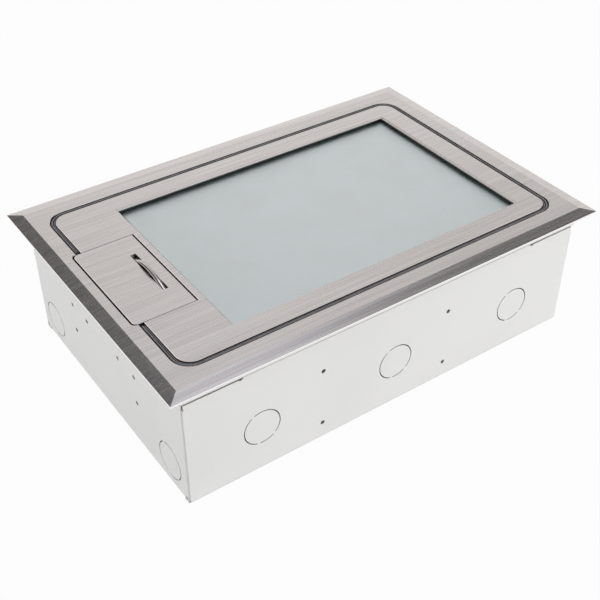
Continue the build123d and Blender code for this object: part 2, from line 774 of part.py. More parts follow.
with BuildPart() as carrier_screws:
    carrier_head_seat = Plane(origin=(carrier_back_x, 0, 0), x_dir=(0, 1, 0), z_dir=(1, 0, 0))
    with BuildSketch(carrier_head_seat):
        with Locations(*carrier_holes):
            Circle(small_screw_head / 2)
    extrude(amount=small_screw_head_height)
    with BuildSketch(carrier_head_seat):
        with Locations(*carrier_holes):
            Circle(small_screw / 2)
    extrude(amount=-(carrier_sheet + sheet - screw_tip_short))
finish(carrier_screws, "carrier_screws")

# Pivots: two short rivets through the cheeks, with their heads inside the flap's ears
with BuildPart() as flap_pivots:
    for side in (-1, 1):
        head_face = side * (ear_inner_y - pivot_head_play)
        pivot_plane = Plane(origin=(pivot_x, head_face, pivot_z), x_dir=(1, 0, 0), z_dir=(0, side, 0))
        with BuildSketch(pivot_plane):
            Circle(pivot_diameter / 2)
        extrude(amount=cheek_outer_y - abs(head_face))
        with BuildSketch(pivot_plane):
            Circle(pivot_head / 2)
        extrude(amount=-pivot_head_length)
finish(flap_pivots, "flap_pivots")

# Rubber pads on the bar, which stop the flap from rattling
with BuildPart() as flap_pads:
    with BuildSketch(Plane.XY.offset(carrier_top)):
        with Locations((flap_inner_x - carrier_bar / 2, 0)):
            with GridLocations(0, 2 * pad_y, 1, 2):
                RectangleRounded(pad_width, pad_length, pad_corner)
    extrude(amount=pad_thickness)
finish(flap_pads, "flap_pads")

# Cable flap: brushed plate with two ears folded down at its outer edge, and two slots
bow_radius = (bow_half_span**2 + bow_rise**2) / (2 * bow_rise)
bow_centre_z = trim_top + bow_rise - bow_radius
bow_slope = asin(bow_half_span / bow_radius)
slot_reach = bow_strip / 2 + bow_slot_play
sunk_rise = trim_top + bow_travel - bow_centre_z
slot_inner_y = sqrt((bow_radius - slot_reach) ** 2 - sunk_rise**2)
slot_outer_y = bow_half_span + lid_thickness / tan(bow_slope) + slot_reach / sin(bow_slope)
slot_length = slot_outer_y - slot_inner_y
slot_width = bow_strip_width + 2 * bow_slot_play
with BuildPart() as cable_flap:
    with BuildSketch(Plane.XY.offset(lid_under)) as flap_outline:
        with Locations(((flap_outer_x + flap_inner_x) / 2, 0)):
            Rectangle(flap_length, flap_width)
        fillet(flap_outline.vertices().group_by(Axis.X)[0], flap_corner)
        with Locations(
            (bow_x, (slot_inner_y + slot_outer_y) / 2), (bow_x, -(slot_inner_y + slot_outer_y) / 2)
        ):
            Rectangle(slot_width, slot_length, mode=Mode.SUBTRACT)
    extrude(amount=lid_thickness)
    chamfer(cable_flap.faces().sort_by(Axis.Z)[-1].outer_wire().edges(), edge_break)
    for side in (-1, 1):
        ear_plane = Plane(
            origin=(pivot_x, side * ear_inner_y, pivot_z), x_dir=(-side, 0, 0), z_dir=(0, side, 0)
        )
        with BuildSketch(ear_plane):
            Circle(ear_radius)
            Rectangle(2 * ear_radius, lid_under - pivot_z, align=(Align.CENTER, Align.MIN))
            Circle(pivot_diameter / 2 + pivot_play, mode=Mode.SUBTRACT)
        extrude(amount=ear_sheet)
finish(cable_flap, "cable_flap")

# Bow handle: a bent strip through the slots, whose feet turn out under the flap; it sinks
# into the slots when it is trodden on
foot_mid_z = lid_under - body_gap - bow_strip / 2
foot_turn_y = bow_half_span + (trim_top - foot_mid_z) / tan(bow_slope)
with BuildPart() as flap_handle:
    with BuildSketch(Plane.YZ.offset(bow_x - bow_strip_width / 2)):
        with BuildLine() as bow_line:
            ThreePointArc(
                (-bow_half_span, trim_top), (0, trim_top + bow_rise), (bow_half_span, trim_top)
            )
            for side in (-1, 1):
                Polyline(
                    (side * bow_half_span, trim_top),
                    (side * foot_turn_y, foot_mid_z),
                    (side * (foot_turn_y + bow_foot), foot_mid_z),
                )
        trace(bow_line.line, bow_strip)
    extrude(amount=bow_strip_width)
    strip_sides = flap_handle.faces().filter_by(Axis.X)
    fillet(strip_sides.edges(), bow_edge_round)
finish(flap_handle, "flap_handle")

# Rails: angle strips across each bay, with end tabs welded to walls and dividers; the
# accessory plates are screwed down on them
rail_y = plate_screw_pitch / 2
with BuildPart() as plate_rails:
    for low, high in bays:
        bay_centre = (low + high) / 2
        bay_length = high - low
        with BuildSketch(Plane.XY.offset(rail_under)):
            with Locations((bay_centre, rail_y), (bay_centre, -rail_y)):
                Rectangle(bay_length, rail_width)
                Circle(plate_screw_diameter / 2 + screw_play, mode=Mode.SUBTRACT)
        extrude(amount=rail_sheet)
        with BuildSketch(Plane.XY.offset(plate_under - rail_leg)):
            outer_y = rail_y + rail_width / 2 - rail_sheet / 2
            with Locations((bay_centre, outer_y), (bay_centre, -outer_y)):
                Rectangle(bay_length, rail_sheet)
            for end_x in (low + rail_sheet / 2, high - rail_sheet / 2):
                with Locations((end_x, rail_y), (end_x, -rail_y)):
                    Rectangle(rail_sheet, rail_width)
        extrude(amount=rail_leg)
finish(plate_rails, "plate_rails")

# Screws of the accessory plates, with countersunk heads flush with the plates
screw_spots = [(x, side * rail_y) for x in (left_x, middle_x, right_x) for side in (-1, 1)]
head_height = (plate_screw_head - plate_screw_diameter) / 2
with BuildPart() as plate_screws:
    with BuildSketch(Plane.XY.offset(plate_top_z)):
        with Locations(*screw_spots):
            Circle(plate_screw_head / 2)
    extrude(amount=-head_height, taper=plate_screw_cone / 2)
    with BuildSketch(Plane.XY.offset(plate_top_z - head_height)):
        with Locations(*screw_spots):
            Circle(plate_screw_diameter / 2)
    extrude(amount=-(plate_screw_length - head_height))
finish(plate_screws, "plate_screws")


def blank_plate(centre_x):
    """The moulded cover of a double accessory, with its edge rounded and its screw holes."""
    with BuildPart() as blank:
        with BuildSketch(Plane.XY.offset(plate_under)):
            with Locations((centre_x, 0)):
                RectangleRounded(plate_width, plate_length, plate_corner)
        extrude(amount=plate_thickness)
        fillet(blank.edges().group_by(Axis.Z)[-1], plate_edge)
        with Locations((centre_x, rail_y, plate_top_z), (centre_x, -rail_y, plate_top_z)):
            CounterSinkHole(
                plate_screw_diameter / 2 + thread_play,
                plate_screw_head / 2 + screw_play,
                plate_thickness,
                plate_screw_cone,
            )
    return blank.part


# Power plates: two outlets with three pin apertures each, and two rocker switches between
rocker_top = rocker_pivot_drop + rocker_proud
tilt = radians(rocker_tilt)
rocker_reach = rocker_length / 2 * cos(tilt) + rocker_top * sin(tilt)
rocker_window_x = 2 * (rocker_reach + rocker_gap)
rocker_window_y = rocker_width + 2 * rocker_gap
rocker_pivot_z = plate_top_z - rocker_pivot_drop
power_bays = (("middle", middle_x), ("right", right_x))
for bay_name, bay_x in power_bays:
    with BuildPart() as socket_plate:
        add(blank_plate(bay_x))
        with BuildSketch(Plane.XY.offset(plate_top_z)):
            for side in (-1, 1):
                pin_x = bay_x - earth_pin_offset / 2
                with Locations((pin_x, side * outlet_y)):
                    with GridLocations(0, pin_spread, 1, 2):
                        Rectangle(line_slot_width, line_slot_length)
                with Locations((pin_x + earth_pin_offset, side * outlet_y)):
                    Rectangle(earth_slot_length, earth_slot_width)
                with Locations((bay_x + rocker_x, side * rocker_y)):
                    Rectangle(rocker_window_x, rocker_window_y)
        extrude(amount=-plate_thickness, mode=Mode.SUBTRACT)
    finish(socket_plate, "socket_plate_" + bay_name)

    # Housing behind the plate, with a well and trunnion holes for each rocker
    with BuildPart() as housing:
        with BuildSketch(Plane.XY.offset(housing_under)):
            with Locations((bay_x, 0)):
                RectangleRounded(housing_width, housing_length, housing_corner)
        extrude(amount=housing_depth)
        with BuildSketch(Plane.XY.offset(plate_under)):
            with Locations((bay_x + rocker_x, rocker_y), (bay_x + rocker_x, -rocker_y)):
                Rectangle(rocker_window_x, rocker_window_y)
        extrude(amount=-rocker_well_depth, mode=Mode.SUBTRACT)
        for side in (-1, 1):
            axle_start = side * rocker_y - rocker_width / 2 - trunnion_length - rocker_gap
            axle_plane = Plane(
                origin=(bay_x + rocker_x, axle_start, rocker_pivot_z), x_dir=(1, 0, 0), z_dir=(0, -1, 0)
            )
            with BuildSketch(axle_plane):
                Circle(trunnion_diameter / 2 + pivot_play)
            extrude(amount=-(rocker_width + 2 * trunnion_length + 2 * rocker_gap), mode=Mode.SUBTRACT)
    finish(housing, "socket_housing_" + bay_name)

    # Rockers: dished keys on trunnions, drawn in the off position
    for side, side_name in ((-1, "front"), (1, "back")):
        key_start = side * rocker_y - rocker_width / 2
        with BuildPart() as rocker:
            with BuildSketch(
                Plane(
                    origin=(bay_x + rocker_x, key_start, rocker_pivot_z),
                    x_dir=(cos(tilt), 0, sin(tilt)),
                    z_dir=(0, -1, 0),
                )
            ):
                with BuildLine():
                    ThreePointArc(
                        (-rocker_length / 2, rocker_top),
                        (0, rocker_top - rocker_dish),
                        (rocker_length / 2, rocker_top),
                    )
                    Polyline(
                        (rocker_length / 2, rocker_top),
                        (rocker_keel_length / 2, -rocker_keel),
                        (-rocker_keel_length / 2, -rocker_keel),
                        (-rocker_length / 2, rocker_top),
                    )
                make_face()
            extrude(amount=-rocker_width)
            with BuildSketch(
                Plane(
                    origin=(bay_x + rocker_x, key_start - trunnion_length, rocker_pivot_z),
                    x_dir=(1, 0, 0),
                    z_dir=(0, -1, 0),
                )
            ):
                Circle(trunnion_diameter / 2)
            extrude(amount=-(rocker_width + 2 * trunnion_length))
        finish(rocker, "rocker_" + bay_name + "_" + side_name)

# Data plate: two jack apertures, each under a shutter that slides in a grooved track
groove_x = slide_cover_x + slide_travel + 2 * body_gap
track_centre_x = left_x + slide_travel / 2
groove_top = plate_top_z - slide_overhang
groove_depth = slide_wing_thickness + 2 * body_gap
with BuildPart() as data_plate:
    add(blank_plate(left_x))
    with BuildSketch(Plane.XY.offset(plate_top_z)):
        with Locations((track_centre_x, jack_y), (track_centre_x, -jack_y)):
            Rectangle(groove_x, slide_cover_y + 2 * body_gap)
    extrude(amount=-slide_overhang, mode=Mode.SUBTRACT)
    with BuildSketch(Plane.XY.offset(groove_top)):
        with Locations((track_centre_x, jack_y), (track_centre_x, -jack_y)):
            Rectangle(groove_x, slide_cover_y + 2 * slide_wing + 2 * body_gap)
    extrude(amount=-groove_depth, mode=Mode.SUBTRACT)
    with BuildSketch(Plane.XY.offset(plate_top_z)):
        with Locations((left_x, jack_y), (left_x, -jack_y)):
            Rectangle(jack_opening_x, jack_opening_y)
    extrude(amount=-plate_thickness, mode=Mode.SUBTRACT)
finish(data_plate, "data_plate")

# Jack bodies, moulded, behind the data plate and open towards it; over each one a shutter,
# with side wings in the grooves of the plate and a ridge for the finger
for side, side_name in ((-1, "front"), (1, "back")):
    with BuildPart() as jack:
        with BuildSketch(Plane.XY.offset(plate_under)):
            with Locations((left_x, side * jack_y)):
                Rectangle(jack_opening_x + 2 * jack_wall, jack_opening_y + 2 * jack_wall)
        extrude(amount=-(jack_depth + jack_wall))
        with BuildSketch(Plane.XY.offset(plate_under)):
            with Locations((left_x, side * jack_y)):
                Rectangle(jack_opening_x, jack_opening_y)
        extrude(amount=-jack_depth, mode=Mode.SUBTRACT)
    finish(jack, "jack_body_" + side_name)

    with BuildPart() as shutter:
        with BuildSketch(Plane.XY.offset(groove_top - body_gap)):
            with Locations((left_x, side * jack_y)):
                Rectangle(slide_cover_x, slide_cover_y + 2 * slide_wing)
        extrude(amount=-slide_wing_thickness)
        with BuildSketch(Plane.XY.offset(groove_top - body_gap)):
            with Locations((left_x, side * jack_y)):
                Rectangle(slide_cover_x, slide_cover_y)
        extrude(amount=slide_overhang)
        with BuildSketch(Plane.XY.offset(groove_top - body_gap + slide_overhang)):
            with Locations((left_x, side * jack_y)):
                Rectangle(slide_grip_width, slide_cover_y - 4 * slide_wing)
        extrude(amount=slide_grip_height)
    finish(shutter, "data_shutter_" + side_name)
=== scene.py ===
"""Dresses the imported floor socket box: its finishes, small fittings, floor and studio."""

import math

import bmesh
import bpy
from mathutils import Matrix, Vector


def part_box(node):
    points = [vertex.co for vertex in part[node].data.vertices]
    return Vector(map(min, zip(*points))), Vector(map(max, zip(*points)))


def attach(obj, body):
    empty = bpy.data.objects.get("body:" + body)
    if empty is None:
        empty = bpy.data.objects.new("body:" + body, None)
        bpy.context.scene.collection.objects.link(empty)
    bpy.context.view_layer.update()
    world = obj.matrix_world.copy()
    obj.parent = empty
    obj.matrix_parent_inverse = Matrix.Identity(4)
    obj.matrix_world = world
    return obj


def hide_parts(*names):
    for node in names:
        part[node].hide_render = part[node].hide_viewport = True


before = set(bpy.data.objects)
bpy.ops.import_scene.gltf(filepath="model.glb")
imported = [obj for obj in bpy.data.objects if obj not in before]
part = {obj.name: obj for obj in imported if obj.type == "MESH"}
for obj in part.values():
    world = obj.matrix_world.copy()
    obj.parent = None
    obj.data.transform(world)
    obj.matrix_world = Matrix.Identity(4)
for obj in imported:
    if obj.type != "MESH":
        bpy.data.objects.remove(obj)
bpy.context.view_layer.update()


# Back box: sheet steel folded and welded, then powder coated white inside and out. The coat
# is satin, with a very fine orange peel and hardly any change of tone. Shade is painted into
# its seams, slots and inner corners, and as a thin line at the joint under the collar.
POWDER_WHITE = (0.80, 0.792, 0.773, 1.0)
POWDER_SHADE = (0.765, 0.757, 0.740, 1.0)
POWDER_SPAN = (0.2, 0.55)
POWDER_GLOSS = (0.44, 0.54)
POWDER_CLOUDS = 9.0
PEEL_CELLS = 620.0
PEEL_DEPTH = 0.00006
SEAM_REACH = 0.0045
SEAM_SPAN = (0.15, 0.62)
SEAM_PAINTED_SHADE = (0.12, 0.12, 0.12, 1.0)
JOINT_PAINTED_SHADE = (0.56, 0.56, 0.56, 1.0)
JOINT_HALF = 0.0003
UNSHADED = (1.0, 1.0, 1.0, 1.0)
SHADE_SAMPLES = 8
MIDDLE_SPAN = (0.3, 0.7)

# The sockets of a node that mixes two colours share their names, so they go by number.
SHARE_SOCKET, ONE_COLOUR, OTHER_COLOUR, MIXED_COLOUR = 0, 6, 7, 2


def new_finish(name, metallic=0.0):
    """A material with a principled shader and the coordinates of the piece it is on."""
    finish = bpy.data.materials.new(name)
    finish.use_nodes = True
    tree = finish.node_tree
    shader = tree.nodes["Principled BSDF"]
    shader.inputs["Metallic"].default_value = metallic
    coords = tree.nodes.new("ShaderNodeTexCoord")
    return finish, tree, shader, coords


def noise(tree, coords, scale, detail, stretch=(1.0, 1.0, 1.0)):
    """Noise of that many cells a metre, drawn out along the axes with a small stretch."""
    spread = tree.nodes.new("ShaderNodeMapping")
    spread.inputs["Scale"].default_value = stretch
    grain = tree.nodes.new("ShaderNodeTexNoise")
    grain.inputs["Scale"].default_value = scale
    grain.inputs["Detail"].default_value = detail
    tree.links.new(coords.outputs["Object"], spread.inputs["Vector"])
    tree.links.new(spread.outputs["Vector"], grain.inputs["Vector"])
    return grain.outputs["Fac"]


def blend_of(tree, one, other, share):
    """Mixes two values, with that share of the other one."""
    both = tree.nodes.new("ShaderNodeMix")
    both.inputs["Factor"].default_value = share
    tree.links.new(one, both.inputs["A"])
    tree.links.new(other, both.inputs["B"])
    return both.outputs["Result"]


def shade(tree, factor, dark, light, target, span=MIDDLE_SPAN):
    """Runs a colour from dark to light as the factor goes through its span."""
    ramp = tree.nodes.new("ShaderNodeValToRGB")
    ramp.color_ramp.elements[0].position = span[0]
    ramp.color_ramp.elements[0].color = dark
    ramp.color_ramp.elements[1].position = span[1]
    ramp.color_ramp.elements[1].color = light
    tree.links.new(factor, ramp.inputs["Fac"])
    tree.links.new(ramp.outputs["Color"], target)


def uneven_gloss(tree, shader, factor, smooth, rough):
    """Runs the roughness from smooth to rough as the factor goes through the middle span."""
    run = tree.nodes.new("ShaderNodeMapRange")
    run.inputs["From Min"].default_value = MIDDLE_SPAN[0]
    run.inputs["From Max"].default_value = MIDDLE_SPAN[1]
    run.inputs["To Min"].default_value = smooth
    run.inputs["To Max"].default_value = rough
    tree.links.new(factor, run.inputs["Value"])
    tree.links.new(run.outputs["Result"], shader.inputs["Roughness"])


def relief(tree, height, depth, shader, strength=1.0):
    """Gives the surface a relief of that depth in metres."""
    bump = tree.nodes.new("ShaderNodeBump")
    bump.inputs["Strength"].default_value = strength
    bump.inputs["Distance"].default_value = depth
    tree.links.new(height, bump.inputs["Height"])
    tree.links.new(bump.outputs["Normal"], shader.inputs["Normal"])


def colour_mix(tree, kind="MIX"):
    """A node that mixes two colours in one of Blender's ways."""
    mix = tree.nodes.new("ShaderNodeMix")
    mix.data_type = "RGBA"
    mix.blend_type = kind
    return mix


def shaded_in_corners(tree, shader, reach, dark, span):
    """Paints shade where another surface is near; returns the socket of the base colour."""
    painted_shade = colour_mix(tree, "MULTIPLY")
    painted_shade.inputs[SHARE_SOCKET].default_value = 1.0
    seams = tree.nodes.new("ShaderNodeAmbientOcclusion")
    seams.samples = SHADE_SAMPLES
    seams.inputs["Distance"].default_value = reach
    shade(tree, seams.outputs["AO"], dark, UNSHADED, painted_shade.inputs[OTHER_COLOUR], span)
    tree.links.new(painted_shade.outputs[MIXED_COLOUR], shader.inputs["Base Color"])
    return painted_shade.inputs[ONE_COLOUR]


def height_test(tree, coords, kind, height, target):
    """Gives the target 1 where the height of the surface passes a test, and 0 elsewhere."""
    place = tree.nodes.new("ShaderNodeSeparateXYZ")
    tree.links.new(coords.outputs["Object"], place.inputs["Vector"])
    test = tree.nodes.new("ShaderNodeMath")
    test.operation = kind
    test.inputs[1].default_value = height
    tree.links.new(place.outputs["Z"], test.inputs[0])
    tree.links.new(test.outputs["Value"], target)
    return test


def powder_coat():
    """The coat of box and collar, with painted shade in corners and at their joint."""
    finish, tree, shader, coords = new_finish("white_powder_coat")
    clouds = noise(tree, coords, POWDER_CLOUDS, detail=2.0)
    # Shade is painted into seams, slots and inner corners.
    coat = shaded_in_corners(tree, shader, SEAM_REACH, SEAM_PAINTED_SHADE, SEAM_SPAN)
    # A thin band at the height of the collar's lower edge is painted darker: painted shade.
    joint = colour_mix(tree, "MULTIPLY")
    joint.inputs[OTHER_COLOUR].default_value = JOINT_PAINTED_SHADE
    joint_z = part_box("frame_collar")[0].z
    near = height_test(tree, coords, "COMPARE", joint_z, joint.inputs[SHARE_SOCKET])
    near.inputs[2].default_value = JOINT_HALF
    shade(tree, clouds, POWDER_SHADE, POWDER_WHITE, joint.inputs[ONE_COLOUR], POWDER_SPAN)
    tree.links.new(joint.outputs[MIXED_COLOUR], coat)
    peel = noise(tree, coords, PEEL_CELLS, detail=2.0)
    uneven_gloss(tree, shader, peel, *POWDER_GLOSS)
    relief(tree, peel, PEEL_DEPTH, shader)
    return finish


def paint(finish, *names):
    """Puts a finish on nodes of the model that keep their own shape."""
    for name in names:
        part[name].data.materials.clear()
        part[name].data.materials.append(finish)


white_coat = powder_coat()
paint(white_coat, "back_box")


# Brackets inside the box: dividers, rails, flap carrier and lid seat are folded from hot dip
# galvanised sheet. Zinc crystals show as faint patches a few millimetres wide.
ZINC_COOL = (0.580, 0.622, 0.620, 1.0)
ZINC_PALE = (0.660, 0.682, 0.670, 1.0)
ZINC_SPAN = (0.2, 0.8)
ZINC_GLOSS = (0.38, 0.50)
ZINC_CLOUDS = 26.0
CRYSTAL_CELLS = 170.0
CRYSTAL_SHARE = 0.22
CRYSTAL_DEPTH = 0.00003
CRYSTAL_STRENGTH = 0.5
CORNER_REACH = 0.004
CORNER_PAINTED_SHADE = (0.32, 0.35, 0.34, 1.0)
ZINC_CORNER_SPAN = (0.30, 0.80)


def galvanised_sheet():
    """Zinc in clouds and crystals, with painted shade in the folds."""
    finish, tree, shader, coords = new_finish("galvanised_sheet", metallic=1.0)
    crystals = tree.nodes.new("ShaderNodeTexVoronoi")
    crystals.inputs["Scale"].default_value = CRYSTAL_CELLS
    tree.links.new(coords.outputs["Object"], crystals.inputs["Vector"])
    patch = tree.nodes.new("ShaderNodeSeparateColor")
    tree.links.new(crystals.outputs["Color"], patch.inputs["Color"])
    clouds = noise(tree, coords, ZINC_CLOUDS, detail=3.0)
    mottle = blend_of(tree, clouds, patch.outputs["Red"], CRYSTAL_SHARE)
    # Shade is painted into folds and inner corners.
    spangle = shaded_in_corners(tree, shader, CORNER_REACH, CORNER_PAINTED_SHADE, ZINC_CORNER_SPAN)
    shade(tree, mottle, ZINC_COOL, ZINC_PALE, spangle, ZINC_SPAN)
    uneven_gloss(tree, shader, mottle, *ZINC_GLOSS)
    relief(tree, mottle, CRYSTAL_DEPTH, shader, CRYSTAL_STRENGTH)
    return finish


zinc_sheet = galvanised_sheet()
paint(zinc_sheet, "divider_left", "divider_right", "plate_rails", "flap_carrier", "lid_seat")


# Small screws of dividers and carrier: cold headed steel, bright zinc plated, driven from the
# inside of the box. Each has a low round head with a cross recess and a rolled thread, and its
# tip ends in a hole of the wall, painted near black there as painted shade.
ZINC_BRIGHT = (0.60, 0.61, 0.62, 1.0)
ZINC_DULL = (0.50, 0.51, 0.52, 1.0)
TIP_SHADE_DEEP = (0.012, 0.012, 0.013, 1.0)
TIP_SHADE_LIGHT = (0.030, 0.030, 0.032, 1.0)
TIP_SHADE_ROUGHNESS = 0.55
PLATED_SMOOTHER = 0.05
PLATED_ROUGHER = 0.07
PLATED_ZINC_ROUGHNESS = 0.30
SPOT_CELLS = 400.0
WALL_SHEET = 0.0012
SMALL_HEAD_RADIUS = 0.0027
SMALL_HEAD_HEIGHT = 0.0016
SMALL_SHANK_RADIUS = 0.0014
SMALL_PITCH = 0.0007
TURN_STEPS = 32
THREAD_STEPS = 6
THREAD_SHARE = 0.16
RECESS_REACH_SHARE = 0.62
RECESS_WIDTH_SHARE = 0.17
RECESS_DEPTH_SHARE = 0.62
RECESS_TAPER = 0.45
TIP_SHARE = 0.7
SAME_PLACE = 1e-6
CREASE_ANGLE = math.radians(32)
CUBE_FACES = ((0, 1, 2, 3), (7, 6, 5, 4), (0, 4, 5, 1), (1, 5, 6, 2), (2, 6, 7, 3), (3, 7, 4, 0))
LOW_HEAD = (
    (0.0, 0.0), (0.55, -0.02), (0.80, -0.14), (0.94, -0.36), (1.0, -0.62), (1.0, -1.0), (0.0, -1.0)
)


def plated(name, dull, bright, roughness):
    """A bright plated metal with small changes of polish."""
    finish, tree, shader, coords = new_finish(name, metallic=1.0)
    spots = noise(tree, coords, SPOT_CELLS, detail=3.0)
    shade(tree, spots, dull, bright, shader.inputs["Base Color"])
    uneven_gloss(tree, shader, spots, roughness - PLATED_SMOOTHER, roughness + PLATED_ROUGHER)
    return finish


def tip_shade_finish():
    """Near black paint for the tips of screws: painted shade in the holes of the wall."""
    finish, tree, shader, coords = new_finish("tip_shade")
    shader.inputs["Roughness"].default_value = TIP_SHADE_ROUGHNESS
    tip_mottle = noise(tree, coords, SPOT_CELLS, detail=3.0)
    shade(tree, tip_mottle, TIP_SHADE_DEEP, TIP_SHADE_LIGHT, shader.inputs["Base Color"])
    return finish


def solids_of(name):
    """The separate solids of a node, each as its lowest and highest corner."""
    shape = bmesh.new()
    shape.from_mesh(part[name].data)
    bmesh.ops.remove_doubles(shape, verts=shape.verts, dist=SAME_PLACE)
    shape.verts.ensure_lookup_table()
    seen = set()
    found = []
    for start in range(len(shape.verts)):
        if start in seen:
            continue
        seen.add(start)
        group = [start]
        for index in group:
            for edge in shape.verts[index].link_edges:
                other = edge.other_vert(shape.verts[index]).index
                if other not in seen:
                    seen.add(other)
                    group.append(other)
        places = [shape.verts[index].co for index in group]
        low = Vector(min(place[axis] for place in places) for axis in range(3))
        high = Vector(max(place[axis] for place in places) for axis in range(3))
        found.append((low, high))
    shape.free()
    return found


def turned(shape, outline):
    """Turns an outline of radius and height about Z into a closed skin."""
    rings = []
    turns = [2 * math.pi * step / TURN_STEPS for step in range(TURN_STEPS)]
    for radius, height in outline:
        if radius == 0.0:
            rings.append([shape.verts.new((0.0, 0.0, height))])
            continue
        places = [(radius * math.cos(turn), radius * math.sin(turn), height) for turn in turns]
        rings.append([shape.verts.new(place) for place in places])
    for lower, upper in zip(rings, rings[1:]):
        for step in range(TURN_STEPS):
            after = (step + 1) % TURN_STEPS
            if len(lower) == 1:
                shape.faces.new((lower[0], upper[step], upper[after]))
            elif len(upper) == 1:
                shape.faces.new((lower[step], lower[after], upper[0]))
            else:
                shape.faces.new((lower[step], lower[after], upper[after], upper[step]))


def threaded(shape, radius, top, bottom, pitch):
    """A shank down from the head, with a rolled thread and a short cone at its tip."""
    depth = THREAD_SHARE * radius
    rows = max(2, round((top - bottom) / pitch * THREAD_STEPS))
    rings = []
    for row in range(rows + 1):
        height = top + (bottom - top) * row / rows
        near_end = min(1.0, (height - bottom) / (2 * pitch))
        ring = []
        for step in range(TURN_STEPS):
            turn = step / TURN_STEPS
            wave = abs(((height / pitch - turn) % 1.0) * 2 - 1)
            reach = (radius - depth * wave) * (TIP_SHARE + (1 - TIP_SHARE) * near_end)
            angle = 2 * math.pi * turn
            ring.append(shape.verts.new((reach * math.cos(angle), reach * math.sin(angle), height)))
        rings.append(ring)
    for upper, lower in zip(rings, rings[1:]):
        for step in range(TURN_STEPS):
            after = (step + 1) % TURN_STEPS
            shape.faces.new((lower[step], lower[after], upper[after], upper[step]))
    shape.faces.new(rings[0])
    shape.faces.new(list(reversed(rings[-1])))


def mesh_of(shape, name):
    """Turns a shape into a mesh with soft curves and crisp corners."""
    bmesh.ops.recalc_face_normals(shape, faces=shape.faces)
    mesh = bpy.data.meshes.new(name)
    shape.to_mesh(mesh)
    shape.free()
    mesh.shade_smooth()
    mesh.set_sharp_from_angle(angle=CREASE_ANGLE)
    return mesh


def cut_cross(head, reach, width, depth):
    """Cuts a cross recess, which narrows downwards, into a head whose top is at zero."""
    cutter = bmesh.new()
    for long_x, long_y in ((reach, width), (width, reach)):
        corners = []
        for height, taper in ((depth, 1.0), (-depth, RECESS_TAPER)):
            for side_x, side_y in ((-1, -1), (1, -1), (1, 1), (-1, 1)):
                place = (side_x * long_x * taper, side_y * long_y * taper, height)
                corners.append(cutter.verts.new(place))
        for face in CUBE_FACES:
            cutter.faces.new([corners[index] for index in face])
    tool = bpy.data.objects.new("recess_tool", mesh_of(cutter, "recess_tool"))
    blank = bpy.data.objects.new("head_blank", head)
    for thing in (tool, blank):
        bpy.context.scene.collection.objects.link(thing)
    cut = blank.modifiers.new("recess", "BOOLEAN")
    cut.operation = "DIFFERENCE"
    cut.solver = "EXACT"
    cut.use_self = True
    cut.object = tool
    bpy.context.view_layer.update()
    depsgraph = bpy.context.evaluated_depsgraph_get()
    done = bpy.data.meshes.new_from_object(blank.evaluated_get(depsgraph))
    for thing in (tool, blank):
        bpy.data.objects.remove(thing)
    return done


def screw(name, head_outline, shank_radius, length, pitch):
    """One screw about Z with the top of its head at zero."""
    head_radius = max(radius for radius, height in head_outline)
    head_height = -min(height for radius, height in head_outline)
    head = bmesh.new()
    turned(head, head_outline)
    reach = RECESS_REACH_SHARE * head_radius
    width = RECESS_WIDTH_SHARE * head_radius
    cut = cut_cross(mesh_of(head, name), reach, width, RECESS_DEPTH_SHARE * head_height)
    whole = bmesh.new()
    whole.from_mesh(cut)
    threaded(whole, shank_radius, -head_height, -length, pitch)
    return mesh_of(whole, name)


def low_head(radius, height):
    """The outline of a low round head, from the top of its middle down to its seat."""
    return [(across * radius, down * height) for across, down in LOW_HEAD]


def stand_for(name, mesh, finish, body, node):
    """Puts a modelled piece in the place of a node, on the body that the node rides on."""
    mesh.materials.clear()
    mesh.materials.append(finish)
    piece = bpy.data.objects.new(name, mesh)
    bpy.context.scene.collection.objects.link(piece)
    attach(piece, body)
    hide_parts(node)


def screws_in(node, one, towards):
    """Copies one screw to each solid of a node; towards gives the way that its head faces."""
    group = bmesh.new()
    for low, high in solids_of(node):
        middle = (low + high) / 2
        facing = towards(middle)
        reach = abs((high - low).dot(facing)) / 2
        placed = one.copy()
        turn = Vector((0, 0, 1)).rotation_difference(facing).to_matrix().to_4x4()
        placed.transform(Matrix.Translation(middle + reach * facing) @ turn)
        group.from_mesh(placed)
    return mesh_of(group, one.name)


def shaded_tips(mesh):
    """Blackens the tips of screws where they stand in the holes of the wall: painted shade."""
    mesh.materials.append(tip_shade)
    low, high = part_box("back_box")
    for face in mesh.polygons:
        beyond_x = face.center.x < low.x + WALL_SHEET
        beyond_y = abs(face.center.y) > high.y - WALL_SHEET
        if beyond_x or beyond_y:
            face.material_index = 1


plated_zinc = plated("zinc_fasteners", ZINC_DULL, ZINC_BRIGHT, PLATED_ZINC_ROUGHNESS)
tip_shade = tip_shade_finish()
small_head = low_head(SMALL_HEAD_RADIUS, SMALL_HEAD_HEIGHT)
low, high = solids_of("divider_screws")[0]
divider_screw = screw("divider_screw", small_head, SMALL_SHANK_RADIUS, high.y - low.y, SMALL_PITCH)
inwards = screws_in(
    "divider_screws", divider_screw, lambda at: Vector((0, -math.copysign(1, at.y), 0))
)
stand_for("divider_screw_set", inwards, plated_zinc, "root", "divider_screws")
shaded_tips(inwards)
low, high = solids_of("carrier_screws")[0]
carrier_screw = screw("carrier_screw", small_head, SMALL_SHANK_RADIUS, high.x - low.x, SMALL_PITCH)
inwards = screws_in("carrier_screws", carrier_screw, lambda at: Vector((1, 0, 0)))
stand_for("carrier_screw_set", inwards, plated_zinc, "root", "carrier_screws")
shaded_tips(inwards)


